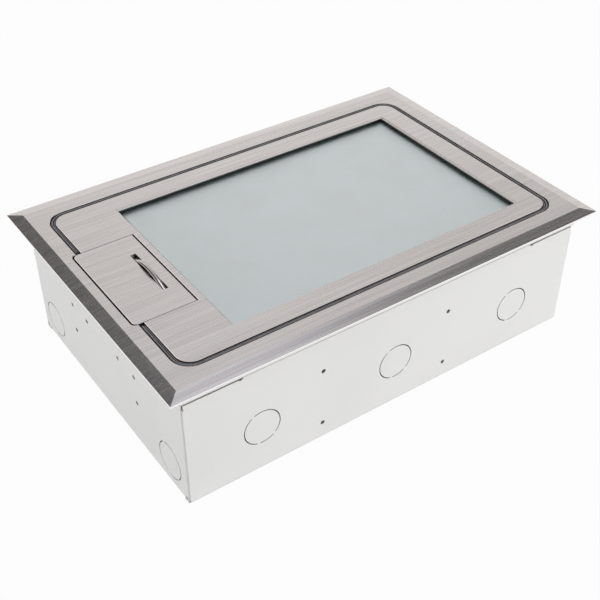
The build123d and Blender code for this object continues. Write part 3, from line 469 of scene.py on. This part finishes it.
# Screws that hold the collar down, with their nuts, and the rivets the flap turns on: cold
# headed steel with the same plating. The collar screws have a pan head.
FRAME_HEAD_RADIUS = 0.0035
FRAME_HEAD_HEIGHT = 0.0024
FRAME_SHANK_RADIUS = 0.002
FRAME_PITCH = 0.0009
low, high = solids_of("frame_screws")[0]
frame_head = low_head(FRAME_HEAD_RADIUS, FRAME_HEAD_HEIGHT)
frame_screw = screw("frame_screw", frame_head, FRAME_SHANK_RADIUS, high.z - low.z, FRAME_PITCH)
upright = screws_in("frame_screws", frame_screw, lambda at: Vector((0, 0, 1)))
stand_for("frame_screw_set", upright, plated_zinc, "root", "frame_screws")
paint(plated_zinc, "frame_nuts", "flap_pivots")


# Screws of the accessory plates: cold headed steel, zinc plated, with countersunk heads that
# are drawn down flush with the plates.
PLATE_HEAD_RADIUS = 0.0033
PLATE_SHANK_RADIUS = 0.00175
PLATE_PITCH = 0.0008
low, high = solids_of("plate_screws")[0]
cone_end = PLATE_SHANK_RADIUS - PLATE_HEAD_RADIUS
plate_head = [(0.0, 0.0), (PLATE_HEAD_RADIUS, 0.0), (PLATE_SHANK_RADIUS, cone_end), (0.0, cone_end)]
plate_screw = screw("plate_screw", plate_head, PLATE_SHANK_RADIUS, high.z - low.z, PLATE_PITCH)
upright = screws_in("plate_screws", plate_screw, lambda at: Vector((0, 0, 1)))
stand_for("plate_screw_set", upright, plated_zinc, "root", "plate_screws")


# Earth terminal: a stud welded to the floor of the box, with its washer and nut, in brass.
# The stud has a rolled thread over its whole height above the flange.
BRASS_DEEP = (0.56, 0.38, 0.13, 1.0)
BRASS_LIGHT = (0.72, 0.52, 0.22, 1.0)
STUD_RADIUS = 0.0025
STUD_PITCH = 0.0008
FLANGE_RADIUS = 0.0045
FLANGE_HEIGHT = 0.0012
BRASS_ROUGHNESS = 0.28
brass = plated("earth_brass", BRASS_DEEP, BRASS_LIGHT, BRASS_ROUGHNESS)
paint(brass, "earth_washer", "earth_nut")
low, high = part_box("earth_stud")
stud = bmesh.new()
flange = [(0.0, 0.0), (FLANGE_RADIUS, 0.0), (FLANGE_RADIUS, FLANGE_HEIGHT), (0.0, FLANGE_HEIGHT)]
turned(stud, flange)
threaded(stud, STUD_RADIUS, high.z - low.z, FLANGE_HEIGHT, STUD_PITCH)
stud_place = Vector(((low.x + high.x) / 2, (low.y + high.y) / 2, low.z))
for corner in stud.verts:
    corner.co += stud_place
stud_mesh = mesh_of(stud, "threaded_stud")
stand_for("threaded_stud", stud_mesh, brass, "root", "earth_stud")


# Accessory plates and rockers: urea moulding in white, low gloss, with a fine even texture.
# The housings, jacks and shutters behind them are a tougher grey moulding.
MOULDING_WHITE = (0.80, 0.80, 0.78, 1.0)
MOULDING_GREY = (0.35, 0.36, 0.38, 1.0)
MOULDING_DEEPER = 0.94
WHITE_GLOSS = (0.28, 0.38)
GREY_GLOSS = (0.41, 0.51)
GRAIN_CELLS = 1500.0
GRAIN_DEPTH = 0.00002


def moulding(name, colour, gloss):
    """A moulded plastic with a fine grain from its mould."""
    finish, tree, shader, coords = new_finish(name)
    deeper = tuple(MOULDING_DEEPER * level for level in colour[:3]) + (1.0,)
    grain = noise(tree, coords, GRAIN_CELLS, detail=2.0)
    shade(tree, grain, deeper, colour, shader.inputs["Base Color"])
    uneven_gloss(tree, shader, grain, *gloss)
    relief(tree, grain, GRAIN_DEPTH, shader)
    return finish


white_moulding = moulding("white_moulding", MOULDING_WHITE, WHITE_GLOSS)
grey_moulding = moulding("grey_moulding", MOULDING_GREY, GREY_GLOSS)
paint(white_moulding, "socket_plate_middle", "socket_plate_right", "data_plate")
paint(white_moulding, "rocker_middle_front", "rocker_middle_back")
paint(white_moulding, "rocker_right_front", "rocker_right_back")
paint(grey_moulding, "socket_housing_middle", "socket_housing_right")
paint(grey_moulding, "jack_body_front", "jack_body_back")
paint(grey_moulding, "data_shutter_front", "data_shutter_back")


# Collar: the raised ring between box and trim, folded from sheet and coated with the box.
# It is screwed down on the flanges of the box through its two feet.
paint(white_coat, "frame_collar")


# Trim frame: stainless plate with a mitred ramp, brushed along the long side of the box. The
# brush leaves lines up to a millimetre wide, most of them some centimetres long. A painted
# highlight lies along the cut edge at the foot of the ramp, and shade is painted into corners.
STAINLESS_DARK = (0.470, 0.438, 0.420, 1.0)
STAINLESS_LIGHT = (0.630, 0.592, 0.572, 1.0)
BRUSH_FINE = (22.0, 2600.0, 2600.0)
BRUSH_PLAIN = (14.0, 950.0, 950.0)
BRUSH_BROAD = (5.0, 300.0, 300.0)
BRUSH_BROAD_SHARE = 0.35
BRUSH_FINE_SHARE = 0.30
BRUSH_DEPTH = 0.000004
BRUSH_STRETCH = 0.55
STAINLESS_SPAN = (0.35, 0.65)
STAINLESS_GLOSS = (0.23, 0.30)
STAINLESS_CORNER_SPAN = (0.25, 0.70)
RIM_PAINTED_HIGHLIGHT = (0.93, 0.92, 0.91, 1.0)
TRIM_EDGE_HEIGHT = 0.0012


def brushed_stainless():
    """Brush lines along X in three widths, whose gloss is drawn out across them."""
    finish, tree, shader, coords = new_finish("brushed_stainless", metallic=1.0)
    fine = noise(tree, coords, 1.0, detail=3.0, stretch=BRUSH_FINE)
    plain = noise(tree, coords, 1.0, detail=3.0, stretch=BRUSH_PLAIN)
    broad = noise(tree, coords, 1.0, detail=2.0, stretch=BRUSH_BROAD)
    wide = blend_of(tree, plain, broad, BRUSH_BROAD_SHARE)
    drawn = blend_of(tree, wide, fine, BRUSH_FINE_SHARE)
    # The cut edge at the foot of the ramp is painted bright: a painted highlight.
    edge = colour_mix(tree)
    edge.inputs[OTHER_COLOUR].default_value = RIM_PAINTED_HIGHLIGHT
    shade(tree, drawn, STAINLESS_DARK, STAINLESS_LIGHT, edge.inputs[ONE_COLOUR], STAINLESS_SPAN)
    edge_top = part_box("trim_frame")[0].z + TRIM_EDGE_HEIGHT
    height_test(tree, coords, "LESS_THAN", edge_top, edge.inputs[SHARE_SOCKET])
    # Shade is painted into inner corners.
    metal = shaded_in_corners(tree, shader, CORNER_REACH, CORNER_PAINTED_SHADE, STAINLESS_CORNER_SPAN)
    tree.links.new(edge.outputs[MIXED_COLOUR], metal)
    uneven_gloss(tree, shader, drawn, *STAINLESS_GLOSS)
    relief(tree, fine, BRUSH_DEPTH, shader)
    shader.inputs["Anisotropic"].default_value = BRUSH_STRETCH
    across = tree.nodes.new("ShaderNodeCombineXYZ")
    across.inputs["Y"].default_value = 1.0
    turned_way = tree.nodes.new("ShaderNodeVectorTransform")
    turned_way.vector_type = "VECTOR"
    turned_way.convert_from = "OBJECT"
    turned_way.convert_to = "WORLD"
    tree.links.new(across.outputs["Vector"], turned_way.inputs["Vector"])
    tree.links.new(turned_way.outputs["Vector"], shader.inputs["Tangent"])
    return finish


stainless = brushed_stainless()
paint(stainless, "trim_frame")


# Seal: an extruded rubber profile pressed into the gap between trim and lid. It has a foot
# on the seat, a low lip on each side and a round bead between them, and stops at the flap.
RUBBER_DEEP = (0.125, 0.114, 0.117, 1.0)
RUBBER_WORN = (0.200, 0.184, 0.188, 1.0)
RUBBER_GLOSS = (0.36, 0.50)
BLOOM_CELLS = 160.0
GROOVE_REACH = 0.0025
GROOVE_PAINTED_SHADE = (0.38, 0.38, 0.40, 1.0)
GROOVE_SPAN = (0.25, 0.75)
OPENING_RADIUS = 0.013
SEAL_FIT = 0.0001
SEAL_BEVEL = 0.0002
SEAL_LIP_DROP = 0.0006
OUTER_LIP_DROP = 0.0017
BEAD_PLACE = 0.00135
BEAD_RADIUS = 0.0006
BEAD_START = 205
BEAD_SWEEP = 230
OUTER_GROOVE_REACH = 1.1
INNER_GROOVE_REACH = 1.5
GROOVE_DROP = 0.0014
LIP_REACH = 0.0032
LIP_WIDTH = 0.0007
FOOT_REACH = 0.0055
FOOT_CLEARANCE = 0.0003
CORNER_STEPS = 14
BEAD_STEPS = 9


def seal_rubber():
    """Dark rubber with a faint bloom, and painted shade in its grooves."""
    finish, tree, shader, coords = new_finish("seal_rubber")
    bloom = noise(tree, coords, BLOOM_CELLS, detail=3.0)
    skin = shaded_in_corners(tree, shader, GROOVE_REACH, GROOVE_PAINTED_SHADE, GROOVE_SPAN)
    shade(tree, bloom, RUBBER_DEEP, RUBBER_WORN, skin)
    uneven_gloss(tree, shader, bloom, *RUBBER_GLOSS)
    return finish


def seal_profile(floor_z, foot_z, top_z):
    """The section of the seal, as distance in from the edge of the trim, and height."""
    lip_z = top_z - SEAL_LIP_DROP
    groove_z = top_z - GROOVE_DROP
    outer_z = top_z - OUTER_LIP_DROP
    points = [(SEAL_FIT, floor_z), (SEAL_FIT, outer_z - SEAL_BEVEL)]
    points += [(SEAL_FIT + SEAL_BEVEL, outer_z)]
    points += [(BEAD_PLACE - OUTER_GROOVE_REACH * BEAD_RADIUS, outer_z)]
    for step in range(BEAD_STEPS + 1):
        turn = math.radians(BEAD_START - BEAD_SWEEP * step / BEAD_STEPS)
        height = top_z - BEAD_RADIUS + BEAD_RADIUS * math.sin(turn)
        points.append((BEAD_PLACE + BEAD_RADIUS * math.cos(turn), max(groove_z, height)))
    points += [(BEAD_PLACE + INNER_GROOVE_REACH * BEAD_RADIUS, groove_z)]
    points += [(LIP_REACH - LIP_WIDTH, lip_z), (LIP_REACH - SEAL_BEVEL, lip_z)]
    points += [(LIP_REACH, lip_z - SEAL_BEVEL)]
    points += [(LIP_REACH, foot_z), (FOOT_REACH, foot_z), (FOOT_REACH, floor_z)]
    return points


def edge_line(half_x, half_y, radius, end_y):
    """Places round the opening of the trim, each with the way to its middle."""
    line = [((-half_x, end_y), (1.0, 0.0))]
    corners = ((-1, 1, 180.0), (1, 1, 90.0), (1, -1, 0.0), (-1, -1, -90.0))
    for side_x, side_y, start in corners:
        middle_x = side_x * (half_x - radius)
        middle_y = side_y * (half_y - radius)
        for step in range(CORNER_STEPS + 1):
            turn = math.radians(start - 90.0 * step / CORNER_STEPS)
            away = (math.cos(turn), math.sin(turn))
            place = (middle_x + radius * away[0], middle_y + radius * away[1])
            line.append((place, (-away[0], -away[1])))
    line.append(((-half_x, -end_y), (1.0, 0.0)))
    return line


def swept(shape, rings):
    """Joins rings of places into a closed skin with both ends capped."""
    loops = [[shape.verts.new(place) for place in ring] for ring in rings]
    count = len(loops[0])
    for one, other in zip(loops, loops[1:]):
        for step in range(count):
            after = (step + 1) % count
            shape.faces.new((one[step], one[after], other[after], other[step]))
    shape.faces.new(loops[0])
    shape.faces.new(list(reversed(loops[-1])))


rubber = seal_rubber()
paint(rubber, "flap_pads")
low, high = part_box("seal_gasket")
lid_under_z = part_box("lid_plate")[0].z
profile = seal_profile(low.z, lid_under_z - FOOT_CLEARANCE, high.z)
seal_end_y = min(abs(corner.co.y) for corner in part["seal_gasket"].data.vertices)
seal_line = edge_line(high.x + SEAL_FIT, high.y + SEAL_FIT, OPENING_RADIUS, seal_end_y)
rings = []
for (edge_x, edge_y), (in_x, in_y) in seal_line:
    ring = []
    for reach, height in profile:
        ring.append((edge_x + reach * in_x, edge_y + reach * in_y, height))
    rings.append(ring)
seal_shape = bmesh.new()
swept(seal_shape, rings)
seal_mesh = mesh_of(seal_shape, "seal_profile")
stand_for("seal_profile", seal_mesh, rubber, "root", "seal_gasket")


# Lid: a brushed plate round a galvanised tray, with galvanised ribs welded beneath it. The
# tray is left bare for an inlay of floor covering, and the upright walls of the window are
# painted near black as painted shade.
WINDOW_SHADE_DEEP = (0.10, 0.105, 0.10, 1.0)
WINDOW_SHADE_LIGHT = (0.17, 0.175, 0.17, 1.0)
WINDOW_SHADE_ROUGHNESS = 0.45
WINDOW_REACH = 0.001
UPRIGHT = 0.3
shaded_window_wall = plated("shaded_window_wall", WINDOW_SHADE_DEEP, WINDOW_SHADE_LIGHT, WINDOW_SHADE_ROUGHNESS)
paint(stainless, "lid_plate")
lid_mesh = part["lid_plate"].data
lid_mesh.materials.append(shaded_window_wall)
low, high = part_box("lid_tray")
# Upright faces round the window take the near black finish: painted shade.
for face in lid_mesh.polygons:
    within_x = low.x - WINDOW_REACH < face.center.x < high.x + WINDOW_REACH
    within_y = abs(face.center.y) < high.y + WINDOW_REACH
    if within_x and within_y and abs(face.normal.z) < UPRIGHT:
        face.material_index = 1
paint(zinc_sheet, "lid_tray", "lid_ribs")


# Cable flap: cut from the same brushed sheet as the lid, with its grain the same way, and two
# ears folded down that the rivets pass through.
paint(stainless, "cable_flap")


# Bow handle: flattened steel wire, bent to a low bow and polished. Its ends go through the
# slots of the flap and turn out under it.
STRIP_DEEP = (0.36, 0.32, 0.295, 1.0)
STRIP_LIGHT = (0.50, 0.455, 0.43, 1.0)
STRIP_THICKNESS = 0.0014
BOW_HALF_SPAN = 0.0125
FOOT_LENGTH = 0.0035
ARC_STEPS = 36
BEND_STEPS = 6
SECTION_STEPS = 32
SECTION_POWER = 0.85
POLISHED_ROUGHNESS = 0.12


def strip_section(width, thickness):
    """The section of the flattened wire, across it and through its thickness."""
    section = []
    for step in range(SECTION_STEPS):
        turn = 2 * math.pi * step / SECTION_STEPS
        across = math.copysign(abs(math.cos(turn)) ** SECTION_POWER, math.cos(turn))
        through = math.copysign(abs(math.sin(turn)) ** SECTION_POWER, math.sin(turn))
        section.append((across * width / 2, through * thickness / 2))
    return section


def bow_line(top_z, flap_z, foot_z, half_length):
    """The middle line of the strip from foot to foot, as places across and up."""
    rise = top_z - flap_z
    radius = (BOW_HALF_SPAN**2 + rise**2) / (2 * rise)
    slope = math.asin(BOW_HALF_SPAN / radius)
    arc = []
    for step in range(ARC_STEPS + 1):
        turn = slope * (2 * step / ARC_STEPS - 1)
        arc.append((radius * math.sin(turn), top_z - radius + radius * math.cos(turn)))
    turn_y = BOW_HALF_SPAN + (flap_z - foot_z) / math.tan(slope)
    near = Vector((turn_y - FOOT_LENGTH / 2, foot_z + math.tan(slope) * FOOT_LENGTH / 2))
    corner = Vector((turn_y, foot_z))
    far = Vector((turn_y + FOOT_LENGTH / 2, foot_z))
    leg = []
    for step in range(BEND_STEPS + 1):
        share = step / BEND_STEPS
        place = near.lerp(corner, share).lerp(corner.lerp(far, share), share)
        leg.append((place.x, place.y))
    leg.append((half_length, foot_z))
    return [(-y, z) for y, z in reversed(leg)] + arc + leg


polished = plated("polished_strip", STRIP_DEEP, STRIP_LIGHT, POLISHED_ROUGHNESS)
low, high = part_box("flap_handle")
flap_top_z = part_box("cable_flap")[1].z
line = bow_line(high.z - STRIP_THICKNESS / 2, flap_top_z, low.z + STRIP_THICKNESS / 2, high.y)
section = strip_section(high.x - low.x, STRIP_THICKNESS)
strip_x = (low.x + high.x) / 2
rings = []
for index, (y, z) in enumerate(line):
    before = line[max(0, index - 1)]
    after = line[min(len(line) - 1, index + 1)]
    along = Vector((after[0] - before[0], after[1] - before[1])).normalized()
    ring = []
    for across, through in section:
        ring.append((strip_x + across, y - through * along.y, z + through * along.x))
    rings.append(ring)
strip_shape = bmesh.new()
swept(strip_shape, rings)
strip_mesh = mesh_of(strip_shape, "bow_strip")
stand_for("bow_strip", strip_mesh, polished, "handle", "flap_handle")


# Floor: a plain pale sheet under the object, seen as white where it is bare, with the shade
# of the object left in it.
FLOOR_REACH = 8.0
FLOOR_DROP = 0.0002
FLOOR_SHADE_SHARE = 0.04
SHEET_GREY = (0.60, 0.60, 0.60, 1.0)
SEEN_WHITE = (1.0, 1.0, 1.0, 1.0)


def two_of(tree, kind, one, other):
    """One value made from two by a kind of sum."""
    both = tree.nodes.new("ShaderNodeMath")
    both.operation = kind
    tree.links.new(one, both.inputs[0])
    tree.links.new(other, both.inputs[1])
    return both.outputs["Value"]


floor_mesh = bpy.data.meshes.new("studio_floor")
corners = [(-FLOOR_REACH, -FLOOR_REACH, 0), (FLOOR_REACH, -FLOOR_REACH, 0)]
corners += [(FLOOR_REACH, FLOOR_REACH, 0), (-FLOOR_REACH, FLOOR_REACH, 0)]
floor_mesh.from_pydata(corners, [], [(0, 1, 2, 3)])
floor = bpy.data.objects.new("studio_floor", floor_mesh)
floor.location.z = -FLOOR_DROP
bpy.context.scene.collection.objects.link(floor)

paper = bpy.data.materials.new("pale_paper")
paper.use_nodes = True
tree = paper.node_tree
tree.nodes.clear()
sheet = tree.nodes.new("ShaderNodeBsdfDiffuse")
sheet.inputs["Color"].default_value = SHEET_GREY
glow = tree.nodes.new("ShaderNodeEmission")
glow.inputs["Color"].default_value = SEEN_WHITE
glow.inputs["Strength"].default_value = 1.0
seen = tree.nodes.new("ShaderNodeMixShader")
seen.inputs["Fac"].default_value = FLOOR_SHADE_SHARE
tree.links.new(glow.outputs["Emission"], seen.inputs[1])
tree.links.new(sheet.outputs["BSDF"], seen.inputs[2])
path = tree.nodes.new("ShaderNodeLightPath")
direct = two_of(tree, "MAXIMUM", path.outputs["Is Camera Ray"], path.outputs["Is Glossy Ray"])
either = two_of(tree, "MAXIMUM", direct, path.outputs["Is Transmission Ray"])
choice = tree.nodes.new("ShaderNodeMixShader")
tree.links.new(either, choice.inputs["Fac"])
tree.links.new(sheet.outputs["BSDF"], choice.inputs[1])
tree.links.new(seen.outputs["Shader"], choice.inputs[2])
output = tree.nodes.new("ShaderNodeOutputMaterial")
tree.links.new(choice.outputs["Shader"], output.inputs["Surface"])
floor_mesh.materials.append(paper)


# Studio: an even white room, lighter low down behind the object and cooler overhead, with a
# small glow there. Two dark places are what the left and the front ramp of the trim reflect.
# A wide softbox lights the coat of the walls from the right; the metal doesn't mirror it.
ROOM_WHITE = (1.0, 1.0, 1.0, 1.0)
ROOM_COOL = (0.93, 0.96, 1.06, 1.0)
COOL_PLACE = (((0, 0, 1), 0.66, 0.84),)
# Each place: its strength, then the ways it lies in, each with the cosines it fades between.
ROOM_PLACES = (
    (0.14, (((-1, 0, 0), -0.20, -0.12), ((1, 0, 0), -0.50, -0.36), ((0, 0.62, 0.78), 0.66, 0.82))),
    (0.02, (
        ((1, 0, 0), 0.37, 0.60), ((0, -0.79, 0.61), -0.02, 0.10), ((0, 0.81, -0.59), -0.68, -0.48)
    )),
    (1.15, (((0, 0, -1), -0.60, -0.42), ((0, 1, 0), 0.20, 0.50))),
    (1.34, (((-1, 0, 0), 0.30, 0.70), ((0, 0, -1), -0.55, -0.40))),
    (1.05, (((0, -1, 0), 0.10, 0.50),)),
    (0.90, (((0, 0, 1), 0.60, 0.72),)),
    (3.40, (((0.36, 0.02, 0.93), 0.970, 0.988),)),
)
SOFTBOX_SIZE = (2.3, 1.1)
SOFTBOX_POWER = 10.0
SOFTBOX_PLACE = Vector((1.15, -1.10, 0.48))
SOFTBOX_AIM = Vector((0, 0, 0.04))


def place_in_room(tree, towards, limits, outside, inside):
    """A value that goes softly from outside to inside a place, limited by ways it lies in."""
    share = None
    for direction, edge, full in limits:
        facing = tree.nodes.new("ShaderNodeVectorMath")
        facing.operation = "DOT_PRODUCT"
        facing.inputs[1].default_value = direction
        tree.links.new(towards, facing.inputs[0])
        fade = tree.nodes.new("ShaderNodeMapRange")
        fade.interpolation_type = "SMOOTHSTEP"
        fade.inputs["From Min"].default_value = edge
        fade.inputs["From Max"].default_value = full
        tree.links.new(facing.outputs["Value"], fade.inputs["Value"])
        within = fade.outputs["Result"]
        share = within if share is None else two_of(tree, "MULTIPLY", share, within)
    run = tree.nodes.new("ShaderNodeMapRange")
    run.inputs["To Min"].default_value = outside
    run.inputs["To Max"].default_value = inside
    tree.links.new(share, run.inputs["Value"])
    return run.outputs["Result"]


world = bpy.data.worlds.new("studio_room")
bpy.context.scene.world = world
world.use_nodes = True
tree = world.node_tree
background = tree.nodes["Background"]
towards = tree.nodes.new("ShaderNodeTexCoord").outputs["Generated"]
level = None
for strength, limits in ROOM_PLACES:
    here = place_in_room(tree, towards, limits, 1.0, strength)
    level = here if level is None else two_of(tree, "MULTIPLY", level, here)
straight = tree.nodes.new("ShaderNodeLightPath")
plain = tree.nodes.new("ShaderNodeMapRange")
plain.inputs["To Max"].default_value = 1.0
tree.links.new(straight.outputs["Is Camera Ray"], plain.inputs["Value"])
tree.links.new(level, plain.inputs["To Min"])
tree.links.new(plain.outputs["Result"], background.inputs["Strength"])
tint = colour_mix(tree)
tint.inputs[ONE_COLOUR].default_value = ROOM_WHITE
tint.inputs[OTHER_COLOUR].default_value = ROOM_COOL
overhead = place_in_room(tree, towards, COOL_PLACE, 0.0, 1.0)
tree.links.new(overhead, tint.inputs[SHARE_SOCKET])
unseen = colour_mix(tree)
unseen.inputs[OTHER_COLOUR].default_value = ROOM_WHITE
tree.links.new(straight.outputs["Is Camera Ray"], unseen.inputs[SHARE_SOCKET])
tree.links.new(tint.outputs[MIXED_COLOUR], unseen.inputs[ONE_COLOUR])
tree.links.new(unseen.outputs[MIXED_COLOUR], background.inputs["Color"])

lamp = bpy.data.lights.new("front_softbox", "AREA")
lamp.shape = "RECTANGLE"
lamp.size, lamp.size_y = SOFTBOX_SIZE
lamp.energy = SOFTBOX_POWER
softbox = bpy.data.objects.new("front_softbox", lamp)
softbox.location = SOFTBOX_PLACE
softbox.rotation_euler = (SOFTBOX_AIM - SOFTBOX_PLACE).to_track_quat("-Z", "Y").to_euler()
softbox.visible_glossy = False
bpy.context.scene.collection.objects.link(softbox)

bpy.context.scene.view_settings.view_transform = "Standard"


# Camera, set at the place that fits the edges of the box in the photograph. Nothing in the
# frame is out of focus.
CAMERA_PLACE = (-0.322467, -0.456973, 0.464416)
CAMERA_TURN = (51.464323, -0.067896, -34.983014)
CAMERA_LENS = 61.2777
CAMERA_SENSOR = 36.0
CAMERA_NEAR = 0.01
camera_data = bpy.data.cameras.new("photo_camera")
camera_data.lens = CAMERA_LENS
camera_data.sensor_width = CAMERA_SENSOR
camera_data.dof.use_dof = False
camera_data.clip_start = CAMERA_NEAR
camera = bpy.data.objects.new("photo_camera", camera_data)
camera.location = CAMERA_PLACE
camera.rotation_euler = tuple(math.radians(turn) for turn in CAMERA_TURN)
bpy.context.scene.collection.objects.link(camera)
bpy.context.scene.camera = camera


# Brings the scene up to date.
bpy.context.view_layer.update()
